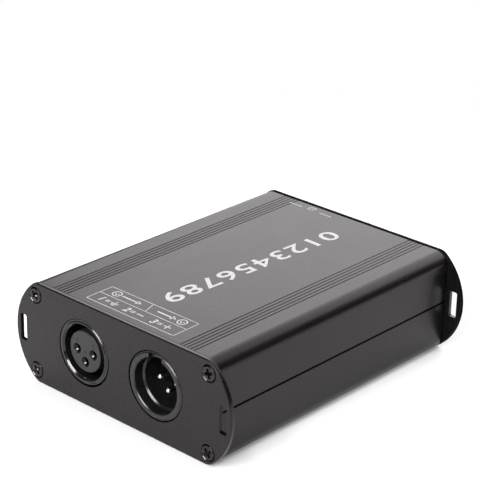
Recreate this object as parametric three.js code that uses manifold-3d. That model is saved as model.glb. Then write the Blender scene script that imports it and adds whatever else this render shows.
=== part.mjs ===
// A small USB to DMX lighting interface: a split extruded aluminium box closed by two
// eared end plates, with a three-pole female and a three-pole male round connector
// through the front plate and a square USB socket through the rear plate.
// Millimetres, +Z up. X runs across the box, Y from the front plate (-Y) to the rear
// plate (+Y). The origin is under the middle of the box, on the surface it stands on.
import * as THREE from "three";
import { mergeVertices } from "three/addons/utils/BufferGeometryUtils.js";
import Module from "manifold-3d";

const wasm = await Module();
wasm.setup();

// ---------------------------------------------------------------- driving dimensions
const BODY_H = 38.0; // height of the closed shells, which is the overall height
const PLATE_INSET = 0.15; // the plates end this much inside the top and bottom of the shells
const PLATE_T = 1.5; // end plate thickness
const PLATE_FACE = 60.9; // outer face of each end plate, from the middle of the box
const EAR_R = 22.7; // radius of the round sides of the plates
const EAR_CX = 28.1; // centre of that radius
const PLATE_FILLET = 5.0; // blend between the round side and the flat top or bottom
const SLOT_X = 47.4; // strap slot in each ear
const SLOT_W = 3.0;
const SLOT_H = 9.9;
const SLOT_R = 0.7;

const GAP = 0.2; // between an end plate and the ends of the shells
const BODY_HALF_W = 43.8; // shells
const BODY_R = 4.7; // outer corner radius
const WALL = 1.6;
const INNER_R = 3.1;
const SPLIT_GAP = 0.7; // width of the groove along the split line
const TONGUE_T = 0.7; // tongue on the lower shell, inside the split groove
const TONGUE_TOP = 20.3;
const RABBET_T = 1.0; // rebate in the upper shell that takes the tongue
const RABBET_TOP = 20.65;

const GROOVE_X0 = 26.76; // first of five lengthwise grooves on each side
const GROOVE_PITCH = 1.568;
const GROOVE_N = 5;
const GROOVE_W = 0.5;
const GROOVE_D = 0.36;

const SCREW_X = 40.9; // four screws in each plate
const SCREW_DZ = 14.26;
const SCREW_HEAD_R = 2.85;
const SCREW_SHANK_R = 1.4;
const SCREW_L = 11.0; // under the outer face
const SCREW_CROWN = 0.4; // raised head above the plate
const SINK_R = 3.15;
const BOSS_R = 2.75;
const BOSS_BORE_R = 1.75;

const BOARD_Z = 7.5; // underside of the circuit board
const BOARD_T = 1.6;
const BOARD_HALF_W = 41.7;
const BOARD_Y0 = -56.3;
const BOARD_Y1 = 58.2;

const XLR_X = 17.1; // female at -X, male at +X
const XLR_Z = 19.9;
const RING_R = { female: 11.7, male: 12.0 }; // front rings of the round connectors
const RING_PROUD = 0.1;
const RING_L = 4.4;
const RING_GAP = 0.3; // around each ring, in the plate's hole
const HOUSING_R = 11.3; // behind the plate
const BORE_R = 9.75;
const HOUSING_BACK = -41.5;
const PIN_DX = 3.9; // two contacts beside the axis, one under it
const PIN_DZ = 3.85;
const PIN_R = 1.2;
const PIN_TIP_DEPTH = 5.3;
const INSERT_R = 7.55;
const INSERT_RECESS = 0.8;
const MALE_STEP_R = 9.1;
const MALE_STEP_DEPTH = 3.8;
const NOTCH_W = 6.0; // latch notch in the male ring
const NOTCH_DEPTH = 2.8;

const USB_X = -17.3;
const USB_W = 12.0;
const USB_H = 10.9;
const USB_L = 16.2;
const USB_WALL = 0.35;
const USB_PROUD = 0.1;

// ---------------------------------------------------------------- materials
const mat = (color, roughness, metalness) =>
  new THREE.MeshStandardMaterial({ color, roughness, metalness });
const anodised = () => mat(0x232324, 0.5, 0.6);
const plateCoat = () => mat(0x1f1f20, 0.55, 0.4);
const plasticBlack = () => mat(0x17171a, 0.4, 0.0);
const insertGrey = () => mat(0x38383a, 0.5, 0.0);
const screwBlack = () => mat(0x2c2624, 0.35, 0.8);
const silver = () => mat(0xc9c6be, 0.25, 1.0);
const tinned = () => mat(0xb9b8b4, 0.35, 1.0);
const boardGreen = () => mat(0x1d5a34, 0.5, 0.0);
const epoxy = () => mat(0x1b1b1c, 0.6, 0.0);

// ---------------------------------------------------------------- solids
const V = (x, y) => new THREE.Vector2(x, y);

// closed mesh geometry -> solid
function solid(geometry, matrix) {
  let g = geometry.index ? geometry.toNonIndexed() : geometry.clone();
  g.deleteAttribute("normal");
  g.deleteAttribute("uv");
  if (matrix) g.applyMatrix4(matrix);
  g = mergeVertices(g, 1e-4);
  return new wasm.Manifold(
    new wasm.Mesh({
      numProp: 3,
      vertProperties: new Float32Array(g.attributes.position.array),
      triVerts: new Uint32Array(g.index.array),
    }),
  );
}

// solid -> flat-shaded geometry
function geometryOf(s) {
  const m = s.getMesh();
  const v = new Float32Array(m.numVert * 3);
  for (let i = 0; i < m.numVert; i++)
    v.set(m.vertProperties.subarray(i * m.numProp, i * m.numProp + 3), i * 3);
  const g = new THREE.BufferGeometry();
  g.setAttribute("position", new THREE.BufferAttribute(v, 3));
  g.setIndex(new THREE.BufferAttribute(new Uint32Array(m.triVerts), 1));
  const flat = g.toNonIndexed();
  flat.computeVertexNormals();
  return flat;
}

const M = () => new THREE.Matrix4();

// a box from its low corner to its high corner
function box(x0, x1, y0, y1, z0, z1) {
  return solid(
    new THREE.BoxGeometry(x1 - x0, y1 - y0, z1 - z0),
    M().makeTranslation((x0 + x1) / 2, (y0 + y1) / 2, (z0 + z1) / 2),
  );
}

// a solid of revolution about the line through (cx, *, cz) along Y;
// profile points are [radius, y], starting and ending on the axis
function turnedY(profile, cx, cz, n = 32, phase = 0) {
  const g = new THREE.LatheGeometry(
    profile.map(([r, y]) => V(r, y)),
    n,
    phase,
  );
  let s = solid(g, M().makeTranslation(cx, 0, cz));
  if (s.volume() < 0)
    s = solid(
      new THREE.LatheGeometry(
        [...profile].reverse().map(([r, y]) => V(r, y)),
        n,
        phase,
      ),
      M().makeTranslation(cx, 0, cz),
    );
  return s;
}
const rodY = (r, y0, y1, cx, cz, n = 32) =>
  turnedY(
    [
      [0, y0],
      [r, y0],
      [r, y1],
      [0, y1],
    ],
    cx,
    cz,
    n,
  );

// a solid of revolution about a vertical line
function turnedZ(profile, cx, cy, n = 24) {
  const make = (p) =>
    solid(
      new THREE.LatheGeometry(
        p.map(([r, z]) => V(r, z)),
        n,
      ),
      M()
        .makeTranslation(cx, cy, 0)
        .multiply(M().makeRotationX(Math.PI / 2)),
    );
  let s = make(profile);
  if (s.volume() < 0) s = make([...profile].reverse());
  return s;
}
const rodZ = (r, z0, z1, cx, cy, n = 20) =>
  turnedZ(
    [
      [0, z0],
      [r, z0],
      [r, z1],
      [0, z1],
    ],
    cx,
    cy,
    n,
  );

// a shape drawn in (x, z) and run along Y from y0 to y1
function runY(shape, y0, y1) {
  const g = new THREE.ExtrudeGeometry(shape, {
    depth: y1 - y0,
    bevelEnabled: false,
    steps: 1,
    curveSegments: 12,
  });
  // drawn (x, y), depth z  ->  x, depth to -Y turned to +Y, drawn y to z
  const m = new THREE.Matrix4().set(
    1, 0, 0, 0,
    0, 0, -1, y1,
    0, 1, 0, 0,
    0, 0, 0, 1,
  );
  return solid(g, m);
}
const poly = (pts) => new THREE.Shape(pts.map(([x, z]) => V(x, z)));

function arcPts(cx, cz, r, a0, a1, n) {
  const out = [];
  for (let i = 0; i <= n; i++) {
    const a = a0 + ((a1 - a0) * i) / n;
    out.push([cx + r * Math.cos(a), cz + r * Math.sin(a)]);
  }
  return out;
}
function roundRect(x0, x1, z0, z1, r, n = 4) {
  const P = Math.PI;
  return poly([
    ...arcPts(x1 - r, z1 - r, r, 0, P / 2, n),
    ...arcPts(x0 + r, z1 - r, r, P / 2, P, n),
    ...arcPts(x0 + r, z0 + r, r, P, 1.5 * P, n),
    ...arcPts(x1 - r, z0 + r, r, 1.5 * P, 2 * P, n),
  ]);
}

const parts = [];
function node(name, s, material) {
  const mesh = new THREE.Mesh(geometryOf(s), material);
  mesh.name = name;
  parts.push(mesh);
  return mesh;
}

// ---------------------------------------------------------------- end plates
const MID = BODY_H / 2;
function plateOutline() {
  const r = PLATE_FILLET;
  const dz = MID - PLATE_INSET - r;
  const fx = EAR_CX + Math.sqrt((EAR_R - r) ** 2 - dz * dz); // fillet centre
  const t = Math.atan2(dz, fx - EAR_CX); // where the fillet meets the round side
  const P = Math.PI;
  const right = [
    ...arcPts(fx, PLATE_INSET + r, r, -P / 2, -t, 5),
    ...arcPts(EAR_CX, MID, EAR_R, -t, t, 26).slice(1),
    ...arcPts(fx, BODY_H - PLATE_INSET - r, r, t, P / 2, 5).slice(1),
  ];
  const left = right.map(([x, z]) => [-x, z]).reverse();
  return poly([...right, ...left]);
}
const screwSpots = [
  [-SCREW_X, MID + SCREW_DZ],
  [SCREW_X, MID + SCREW_DZ],
  [-SCREW_X, MID - SCREW_DZ],
  [SCREW_X, MID - SCREW_DZ],
];
// side -1 is the front plate, +1 the rear plate
function plateBlank(side) {
  const inner = side * (PLATE_FACE - PLATE_T);
  const outer = side * PLATE_FACE;
  let s = runY(plateOutline(), Math.min(inner, outer), Math.max(inner, outer));
  for (const sx of [-1, 1])
    s = s.subtract(
      runY(
        roundRect(
          sx * SLOT_X - SLOT_W / 2,
          sx * SLOT_X + SLOT_W / 2,
          MID - SLOT_H / 2,
          MID + SLOT_H / 2,
          SLOT_R,
          3,
        ),
        Math.min(inner, outer) - 1,
        Math.max(inner, outer) + 1,
      ),
    );
  // countersunk holes, widest at the outer face
  for (const [x, z] of screwSpots)
    s = s.subtract(
      turnedY(
        [
          [0, outer + side * 0.5],
          [SINK_R + 0.5, outer + side * 0.5],
          [SINK_R, outer],
          [1.75, inner + side * 0.1],
          [1.75, inner - side * 0.5],
          [0, inner - side * 0.5],
        ],
        x,
        z,
        24,
      ),
    );
  return s;
}

let front = plateBlank(-1);
for (const sx of [-1, 1])
  front = front.subtract(
    rodY(
      RING_R[sx < 0 ? "female" : "male"] + RING_GAP,
      -PLATE_FACE - 1,
      -PLATE_FACE + PLATE_T + 1,
      sx * XLR_X,
      XLR_Z,
      48,
    ),
  );
node("front_plate", front, plateCoat());

const USB_Z0 = BOARD_Z + BOARD_T + 0.25;
const usbHole = 0.35;
const rear = plateBlank(1).subtract(
  runY(
    roundRect(
      USB_X - USB_W / 2 - usbHole,
      USB_X + USB_W / 2 + usbHole,
      USB_Z0 - usbHole,
      USB_Z0 + USB_H + usbHole,
      0.5,
      2,
    ),
    PLATE_FACE - PLATE_T - 1,
    PLATE_FACE + 1,
  ),
);
node("rear_plate", rear, plateCoat());

// ---------------------------------------------------------------- end plate screws
// raised countersunk head with a cross recess, plain shank in place of the thread
function screw(side, x, z) {
  const f = side * PLATE_FACE;
  const y = (d) => f - side * d; // depth under the plate's outer face
  let s = turnedY(
    [
      [0, y(-SCREW_CROWN)],
      [SCREW_HEAD_R * 0.8, y(-SCREW_CROWN * 0.6)],
      [SCREW_HEAD_R, y(-0.02)],
      [SCREW_HEAD_R, y(0.12)],
      [SCREW_SHANK_R, y(PLATE_T)],
      [SCREW_SHANK_R, y(SCREW_L - 0.6)],
      [SCREW_SHANK_R - 0.5, y(SCREW_L)],
      [0, y(SCREW_L)],
    ],
    x,
    z,
    16,
  );
  const a = 1.55;
  const b = 0.36;
  const y0 = Math.min(y(-1), y(1.15));
  const y1 = Math.max(y(-1), y(1.15));
  const cross = box(x - a, x + a, y0, y1, z - b, z + b).add(
    box(x - b, x + b, y0, y1, z - a, z + a),
  );
  return s.subtract(cross);
}
const spotNames = ["upper_left", "upper_right", "lower_left", "lower_right"];
screwSpots.forEach(([x, z], i) => {
  node("front_screw_" + spotNames[i], screw(-1, x, z), screwBlack());
  node("rear_screw_" + spotNames[i], screw(1, x, z), screwBlack());
});

// ---------------------------------------------------------------- shells
const SHELL_END = PLATE_FACE - PLATE_T - GAP;
const TOP = BODY_H;
// outer section of the upper shell, from the split line up, with its grooves
function upperSection(zLow) {
  const P = Math.PI;
  const right = [
    [BODY_HALF_W, zLow],
    ...arcPts(BODY_HALF_W - BODY_R, TOP - BODY_R, BODY_R, 0, P / 2, 20),
  ];
  const grooves = [];
  for (let i = GROOVE_N - 1; i >= 0; i--) {
    const x = GROOVE_X0 + i * GROOVE_PITCH;
    grooves.push(
      [x + GROOVE_W / 2, TOP],
      [x + GROOVE_W / 2 - 0.09, TOP - GROOVE_D],
      [x - GROOVE_W / 2 + 0.09, TOP - GROOVE_D],
      [x - GROOVE_W / 2, TOP],
    );
  }
  const half = [...right, ...grooves];
  return poly([...half, ...half.map(([x, z]) => [-x, z]).reverse()]);
}
// inner section, a plain rounded channel
function innerSection(zLow) {
  const P = Math.PI;
  const w = BODY_HALF_W - WALL;
  const t = TOP - WALL;
  const half = [
    [w, zLow],
    ...arcPts(w - INNER_R, t - INNER_R, INNER_R, 0, P / 2, 8),
  ];
  return poly([...half, ...half.map(([x, z]) => [-x, z]).reverse()]);
}
const mirrorZ = (s) =>
  s.mirror([0, 0, 1]).translate([0, 0, BODY_H]); // about the split plane

function shellBlank() {
  let s = runY(upperSection(MID + SPLIT_GAP / 2), -SHELL_END, SHELL_END);
  const hollow = runY(innerSection(MID - 2), -SHELL_END - 1, SHELL_END + 1);
  s = s.subtract(hollow);
  for (const sx of [-1, 1]) {
    // screw boss along each corner, inside the outer section
    let boss = rodY(BOSS_R, -SHELL_END, SHELL_END, sx * SCREW_X, MID + SCREW_DZ, 24);
    boss = boss.intersect(
      runY(upperSection(MID + SPLIT_GAP / 2), -SHELL_END, SHELL_END),
    );
    s = s.add(boss);
    s = s.subtract(
      rodY(BOSS_BORE_R, -SHELL_END - 1, SHELL_END + 1, sx * SCREW_X, MID + SCREW_DZ, 16),
    );
  }
  return s;
}
const blank = shellBlank();
const wIn = BODY_HALF_W - WALL;
let upper = blank;
for (const sx of [-1, 1]) {
  const a = sx * (wIn - 0.5);
  const b = sx * (wIn + RABBET_T);
  upper = upper.subtract(
    box(Math.min(a, b), Math.max(a, b), -SHELL_END - 1, SHELL_END + 1, MID - 1, RABBET_TOP),
  );
}
node("upper_shell", upper, anodised());

let lower = mirrorZ(blank);
for (const sx of [-1, 1]) {
  const a = sx * wIn;
  const b = sx * (wIn + TONGUE_T);
  lower = lower.add(
    box(Math.min(a, b), Math.max(a, b), -SHELL_END, SHELL_END, MID - 3, TONGUE_TOP),
  );
  // two ribs hold the edge of the circuit board
  const c = sx * (wIn - 2);
  const d = sx * (wIn + 0.5);
  for (const [z0, z1] of [
    [BOARD_Z - 1.2, BOARD_Z - 0.3],
    [BOARD_Z + BOARD_T + 0.3, BOARD_Z + BOARD_T + 1.3],
  ])
    lower = lower.add(
      box(Math.min(c, d), Math.max(c, d), -SHELL_END, SHELL_END, z0, z1),
    );
}
node("lower_shell", lower, anodised());

// ---------------------------------------------------------------- round connectors
const FRONT = -PLATE_FACE - RING_PROUD; // front of the rings
const FLAT_Z = BOARD_Z + BOARD_T + 0.3; // underside of the connector bodies
// ring, body behind the plate, and two pegs into the board; open at the front
function roundHousing(cx) {
  const ringR = RING_R[cx < 0 ? "female" : "male"];
  const ringBack = FRONT + RING_L;
  let s = turnedY(
    [
      [0, FRONT + 0.02],
      [BORE_R - 1, FRONT + 0.02],
      [ringR - 1.2, FRONT + 0.02],
      [ringR - 0.95, FRONT],
      [ringR - 0.3, FRONT + 0.25],
      [ringR, FRONT + 0.9],
      [ringR, ringBack],
      [HOUSING_R, ringBack],
      [HOUSING_R, HOUSING_BACK],
      [0, HOUSING_BACK],
    ],
    cx,
    XLR_Z,
    40,
  );
  // square shoulders below, down to the board
  s = s.add(
    box(cx - HOUSING_R, cx + HOUSING_R, ringBack + 1.2, HOUSING_BACK, FLAT_Z, XLR_Z),
  );
  s = s.subtract(
    box(cx - 20, cx + 20, BOARD_Y0 - 0.4, HOUSING_BACK + 1, FLAT_Z - 8, FLAT_Z),
  );
  for (const sx of [-1, 1])
    s = s.add(rodZ(1.1, BOARD_Z - 0.9, FLAT_Z + 0.6, cx + sx * 8.5, -50, 16));
  return s;
}
const BACK_WALL = HOUSING_BACK - 2.2; // inner face of the back wall
const contactSpots = [
  [-PIN_DX, 0],
  [PIN_DX, 0],
  [0, -PIN_DZ],
];
// legs leave the back wall and turn down through the board
const LEG_R = 0.45;
const LEG_HOLE_R = 0.8;
const legY = (i) => HOUSING_BACK + 2.2 + (i === 2 ? 2.54 : 0);

let fh = roundHousing(-XLR_X).subtract(
  turnedY(
    [
      [0, FRONT - 1],
      [BORE_R + 1.5, FRONT - 1],
      [BORE_R + 0.3, FRONT + 0.2],
      [BORE_R, FRONT + 0.9],
      [BORE_R, BACK_WALL],
      [0, BACK_WALL],
    ],
    -XLR_X,
    XLR_Z,
    40,
  ),
);
// small key rib at the bottom of the bore
fh = fh.add(
  box(
    -XLR_X - 0.8,
    -XLR_X + 0.8,
    FRONT + 0.5,
    BACK_WALL - 3,
    XLR_Z - BORE_R - 0.6,
    XLR_Z - BORE_R + 0.4,
  ),
);
for (const [dx, dz] of contactSpots)
  fh = fh.subtract(rodY(LEG_HOLE_R, BACK_WALL - 1, HOUSING_BACK + 1, -XLR_X + dx, XLR_Z + dz, 10));
node("female_connector_housing", fh, plasticBlack());

const FACE_Y = FRONT + RING_PROUD + INSERT_RECESS;
let insert = turnedY(
  [
    [0, FACE_Y],
    [INSERT_R - 0.35, FACE_Y],
    [INSERT_R, FACE_Y + 0.35],
    [INSERT_R, BACK_WALL - 2.4],
    [BORE_R - 0.3, BACK_WALL - 2.4],
    [BORE_R - 0.3, BACK_WALL - 0.3],
    [0, BACK_WALL - 0.3],
  ],
  -XLR_X,
  XLR_Z,
  32,
);
for (const [dx, dz] of contactSpots)
  insert = insert.subtract(
    turnedY(
      [
        [0, FACE_Y - 1],
        [1.7 + 1, FACE_Y - 1],
        [1.7, FACE_Y],
        [1.65, FACE_Y + 0.2],
        [1.65, BACK_WALL - 1.2],
        [LEG_HOLE_R, BACK_WALL - 1.2],
        [LEG_HOLE_R, BACK_WALL],
        [0, BACK_WALL],
      ],
      -XLR_X + dx,
      XLR_Z + dz,
      14,
    ),
  );
node("female_connector_insert", insert, insertGrey());

contactSpots.forEach(([dx, dz], i) => {
  const x = -XLR_X + dx;
  const z = XLR_Z + dz;
  let c = turnedY(
    [
      [0, FACE_Y + 0.4],
      [1.32, FACE_Y + 0.4],
      [1.32, BACK_WALL - 1.6],
      [LEG_R, BACK_WALL - 1.6],
      [LEG_R, legY(i) + LEG_R],
      [0, legY(i) + LEG_R],
    ],
    x,
    z,
    12,
  );
  c = c.subtract(rodY(1.02, FACE_Y, BACK_WALL - 4, x, z, 12)); // socket bore
  c = c.subtract(box(x - 0.15, x + 0.15, FACE_Y, FACE_Y + 7, z, z + 3)); // spring slot
  c = c.add(rodZ(LEG_R, BOARD_Z - 1.1, z, x, legY(i), 8));
  node("female_contact_" + (i + 1), c, silver());
});

let mh = roundHousing(XLR_X).subtract(
  turnedY(
    [
      [0, FRONT - 1],
      [BORE_R + 1.5, FRONT - 1],
      [BORE_R + 0.3, FRONT + 0.2],
      [BORE_R, FRONT + 0.9],
      [BORE_R, FRONT + RING_PROUD + MALE_STEP_DEPTH - 0.2],
      [MALE_STEP_R, FRONT + RING_PROUD + MALE_STEP_DEPTH],
      [MALE_STEP_R, BACK_WALL],
      [0, BACK_WALL],
    ],
    XLR_X,
    XLR_Z,
    40,
  ),
);
// latch notch: through the ring at the top, then a groove inside the body
mh = mh
  .subtract(
    box(
      XLR_X - NOTCH_W / 2,
      XLR_X + NOTCH_W / 2,
      FRONT - 1,
      FRONT + RING_PROUD + NOTCH_DEPTH,
      XLR_Z + 7,
      XLR_Z + RING_R.male - 0.45,
    ),
  )
  .subtract(
    box(
      XLR_X - NOTCH_W / 2,
      XLR_X + NOTCH_W / 2,
      FRONT + 1,
      FRONT + 12,
      XLR_Z + 7,
      XLR_Z + 10.1,
    ),
  );
for (const [dx, dz] of contactSpots)
  mh = mh.subtract(rodY(LEG_HOLE_R, BACK_WALL - 1, HOUSING_BACK + 1, XLR_X + dx, XLR_Z + dz, 10));
node("male_connector_housing", mh, plasticBlack());

let base = turnedY(
  [
    [0, BACK_WALL - 2.6],
    [MALE_STEP_R - 0.7, BACK_WALL - 2.6],
    [MALE_STEP_R - 0.3, BACK_WALL - 2.2],
    [MALE_STEP_R - 0.3, BACK_WALL - 0.3],
    [0, BACK_WALL - 0.3],
  ],
  XLR_X,
  XLR_Z,
  28,
);
for (const [dx, dz] of contactSpots)
  base = base.subtract(rodY(PIN_R + 0.3, BACK_WALL - 4, BACK_WALL, XLR_X + dx, XLR_Z + dz, 10));
node("male_connector_base", base, plasticBlack());

contactSpots.forEach(([dx, dz], i) => {
  const x = XLR_X + dx;
  const z = XLR_Z + dz;
  const tip = -PLATE_FACE + PIN_TIP_DEPTH;
  let c = turnedY(
    [
      [0, tip],
      [0.55, tip + 0.1],
      [1.0, tip + 0.55],
      [PIN_R, tip + 1.4],
      [PIN_R, BACK_WALL - 0.6],
      [LEG_R, BACK_WALL - 0.6],
      [LEG_R, legY(i) + LEG_R],
      [0, legY(i) + LEG_R],
    ],
    x,
    z,
    12,
  );
  c = c.add(rodZ(LEG_R, BOARD_Z - 1.1, z, x, legY(i), 8));
  node("male_pin_" + (i + 1), c, silver());
});

// ---------------------------------------------------------------- USB socket
const USB_Y1 = PLATE_FACE + USB_PROUD;
const USB_Y0 = USB_Y1 - USB_L;
const usbOuter = (g) => {
  const c = 2.0; // bevelled upper corners
  const x0 = USB_X - USB_W / 2 + g;
  const x1 = USB_X + USB_W / 2 - g;
  const z0 = USB_Z0 + g;
  const z1 = USB_Z0 + USB_H - g;
  return poly([
    [x0, z0],
    [x1, z0],
    [x1, z1 - 0.5],
    [x1 - 0.5, z1],
    [x0 + 0.5, z1],
    [x0, z1 - 0.5],
  ]);
};
let usbShell = runY(usbOuter(0), USB_Y0, USB_Y1).subtract(
  runY(usbOuter(USB_WALL), USB_Y0 - 1, USB_Y1 + 1),
);
// four mounting legs folded down into the board
for (const sx of [-1, 1]) {
  const x = USB_X + sx * (USB_W / 2 - USB_WALL / 2);
  usbShell = usbShell.add(
    box(x - USB_WALL / 2, x + USB_WALL / 2, USB_Y0 + 3.2, USB_Y0 + 5.0, BOARD_Z - 1.2, USB_Z0 + 1),
  );
}
node("usb_socket_shell", usbShell, tinned());

// moulded body with the D-shaped cavity and its central tongue
const CAV_W = 8.5;
const CAV_H = 7.8;
const cavZ = USB_Z0 + USB_H / 2;
const cavity = poly([
  [USB_X - CAV_W / 2, cavZ - CAV_H / 2],
  [USB_X + CAV_W / 2, cavZ - CAV_H / 2],
  [USB_X + CAV_W / 2, cavZ + CAV_H / 2 - 2],
  [USB_X + CAV_W / 2 - 2, cavZ + CAV_H / 2],
  [USB_X - CAV_W / 2 + 2, cavZ + CAV_H / 2],
  [USB_X - CAV_W / 2, cavZ + CAV_H / 2 - 2],
]);
const TONGUE_W = 5.6;
const TONGUE_H = 3.2;
let usbBody = runY(usbOuter(USB_WALL + 0.15), USB_Y0 + 0.4, USB_Y1 - 0.5);
usbBody = usbBody
  .subtract(runY(cavity, USB_Y0 + 4.5, USB_Y1 + 1))
  .add(
    box(
      USB_X - TONGUE_W / 2,
      USB_X + TONGUE_W / 2,
      USB_Y0 + 4,
      USB_Y1 - 1.6,
      cavZ - TONGUE_H / 2,
      cavZ + TONGUE_H / 2,
    ),
  );
const strips = [
  [-1.25, 1],
  [1.25, 1],
  [-1.25, -1],
  [1.25, -1],
];
for (const [dx, sz] of strips) {
  const z = cavZ + (sz * TONGUE_H) / 2;
  usbBody = usbBody.subtract(
    box(USB_X + dx - 0.65, USB_X + dx + 0.65, USB_Y0 - 1, USB_Y1 - 2.4, z - 0.35, z + 0.35),
  );
}
node("usb_socket_body", usbBody, plasticBlack());

strips.forEach(([dx, sz], i) => {
  const x = USB_X + dx;
  const z = cavZ + (sz * TONGUE_H) / 2;
  const tail = USB_Y0 - 1.4 - (sz > 0 ? 1.2 : 0); // upper pair turns down further back
  const w = 0.45;
  const s = box(x - w, x + w, tail, USB_Y1 - 2.7, z - 0.2, z + 0.2).add(
    box(x - w, x + w, tail, tail + 0.4, BOARD_Z - 1.0, z + 0.2),
  );
  node("usb_contact_" + (i + 1), s, silver());
});

// ---------------------------------------------------------------- circuit board
const BT = BOARD_Z + BOARD_T; // top face of the board
let board = box(-BOARD_HALF_W, BOARD_HALF_W, BOARD_Y0, BOARD_Y1, BOARD_Z, BT);
const drill = [];
for (const cx of [-XLR_X, XLR_X]) {
  contactSpots.forEach(([dx], i) => drill.push([cx + dx, legY(i), 0.8]));
  for (const sx of [-1, 1]) drill.push([cx + sx * 8.5, -50, 1.45]);
}
for (const [x, y, r] of drill)
  board = board.subtract(rodZ(r, BOARD_Z - 1, BT + 1, x, y, 10));
strips.forEach(([dx, sz]) => {
  const tail = USB_Y0 - 1.4 - (sz > 0 ? 1.2 : 0);
  board = board.subtract(
    box(USB_X + dx - 0.7, USB_X + dx + 0.7, tail - 0.25, tail + 0.65, BOARD_Z - 1, BT + 1),
  );
});
for (const sx of [-1, 1]) {
  const x = USB_X + sx * (USB_W / 2 - USB_WALL / 2);
  board = board.subtract(
    box(x - 0.5, x + 0.5, USB_Y0 + 2.9, USB_Y0 + 5.3, BOARD_Z - 1, BT + 1),
  );
}
node("circuit_board", board, boardGreen());

// ---------------------------------------------------------------- parts on the board
// flat chip with gull-wing legs along two or four sides
function chip(cx, cy, w, l, h, pitch, nx, ny) {
  const z0 = BT + 0.1;
  let s = box(cx - w / 2, cx + w / 2, cy - l / 2, cy + l / 2, z0 + 0.1, z0 + h);
  const leg = (x0, x1, y0, y1) =>
    box(x0, x1, y0, y1, z0, z0 + 0.55);
  for (let i = 0; i < ny; i++) {
    const y = cy + (i - (ny - 1) / 2) * pitch;
    for (const sx of [-1, 1]) {
      const a = cx + sx * (w / 2 - 0.1);
      const b = cx + sx * (w / 2 + 0.9);
      s = s.add(leg(Math.min(a, b), Math.max(a, b), y - pitch * 0.2, y + pitch * 0.2));
    }
  }
  for (let i = 0; i < nx; i++) {
    const x = cx + (i - (nx - 1) / 2) * pitch;
    for (const sy of [-1, 1]) {
      const a = cy + sy * (l / 2 - 0.1);
      const b = cy + sy * (l / 2 + 0.9);
      s = s.add(leg(x - pitch * 0.2, x + pitch * 0.2, Math.min(a, b), Math.max(a, b)));
    }
  }
  return s;
}
node("microcontroller", chip(4, 8, 7, 7, 1.5, 1.0, 6, 6), epoxy());
node("usb_bridge_chip", chip(-17.3, 27, 5.3, 10.2, 1.7, 1.3, 0, 7), epoxy());
node("output_transceiver", chip(-18, -24, 3.9, 4.9, 1.5, 1.27, 0, 4), epoxy());
node("input_transceiver", chip(18, -24, 3.9, 4.9, 1.5, 1.27, 0, 4), epoxy());
node("isolation_coupler", chip(0, -12, 3.9, 9.9, 1.6, 1.27, 0, 7), epoxy());

const capacitor = (cx, cy, r, h) =>
  turnedZ(
    [
      [0, BT + 0.1],
      [r, BT + 0.1],
      [r, BT + 0.9],
      [r - 0.3, BT + 1.2],
      [r, BT + 1.5],
      [r, BT + h - 0.4],
      [r - 0.4, BT + h],
      [0, BT + h],
    ],
    cx,
    cy,
    16,
  );
node("supply_capacitor_1", capacitor(14, 30, 3.15, 8.0), mat(0x26242e, 0.4, 0.1));
node("supply_capacitor_2", capacitor(23, 30, 3.15, 8.0), mat(0x26242e, 0.4, 0.1));

// metal can crystal, with rounded ends
const crystal = (cx, cy) => {
  const P = Math.PI;
  const r = 2.2;
  const pts = [
    ...arcPts(cx + 3.3, cy, r, -P / 2, P / 2, 8),
    ...arcPts(cx - 3.3, cy, r, P / 2, 1.5 * P, 8),
  ];
  return solid(
    new THREE.ExtrudeGeometry(poly(pts), { depth: 3.4, bevelEnabled: false }),
    M().makeTranslation(0, 0, BT + 0.1),
  );
};
node("crystal", crystal(4, 20), tinned());

node(
  "voltage_regulator",
  box(28.2, 34.8, 14, 17.5, BT + 0.1, BT + 1.8).add(
    box(30, 33, 17.3, 19.4, BT + 0.1, BT + 0.5),
  ),
  epoxy(),
);
node(
  "isolated_supply_module",
  box(-34, -26, -14, -2.5, BT + 0.1, BT + 9.6),
  epoxy(),
);

// ---------------------------------------------------------------- assembly
const interfaceBox = new THREE.Group();
for (const mesh of parts) interfaceBox.add(mesh);
export default interfaceBox;
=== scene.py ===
import math

import bmesh
import bpy
from mathutils import Matrix, Quaternion, Vector
from mathutils.geometry import tessellate_polygon


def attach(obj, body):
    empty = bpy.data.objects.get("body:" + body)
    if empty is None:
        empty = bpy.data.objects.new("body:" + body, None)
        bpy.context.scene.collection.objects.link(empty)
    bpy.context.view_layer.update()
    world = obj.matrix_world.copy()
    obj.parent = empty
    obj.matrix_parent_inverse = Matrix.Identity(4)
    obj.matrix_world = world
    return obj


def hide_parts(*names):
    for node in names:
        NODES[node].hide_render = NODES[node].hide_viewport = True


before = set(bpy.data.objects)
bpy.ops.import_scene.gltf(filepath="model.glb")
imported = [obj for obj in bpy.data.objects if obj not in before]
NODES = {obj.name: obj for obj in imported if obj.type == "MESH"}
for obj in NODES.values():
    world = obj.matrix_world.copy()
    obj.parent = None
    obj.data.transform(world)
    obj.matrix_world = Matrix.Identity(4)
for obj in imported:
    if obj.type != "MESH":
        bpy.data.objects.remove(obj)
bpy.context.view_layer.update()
scene = bpy.context.scene
MM = 0.001

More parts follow.
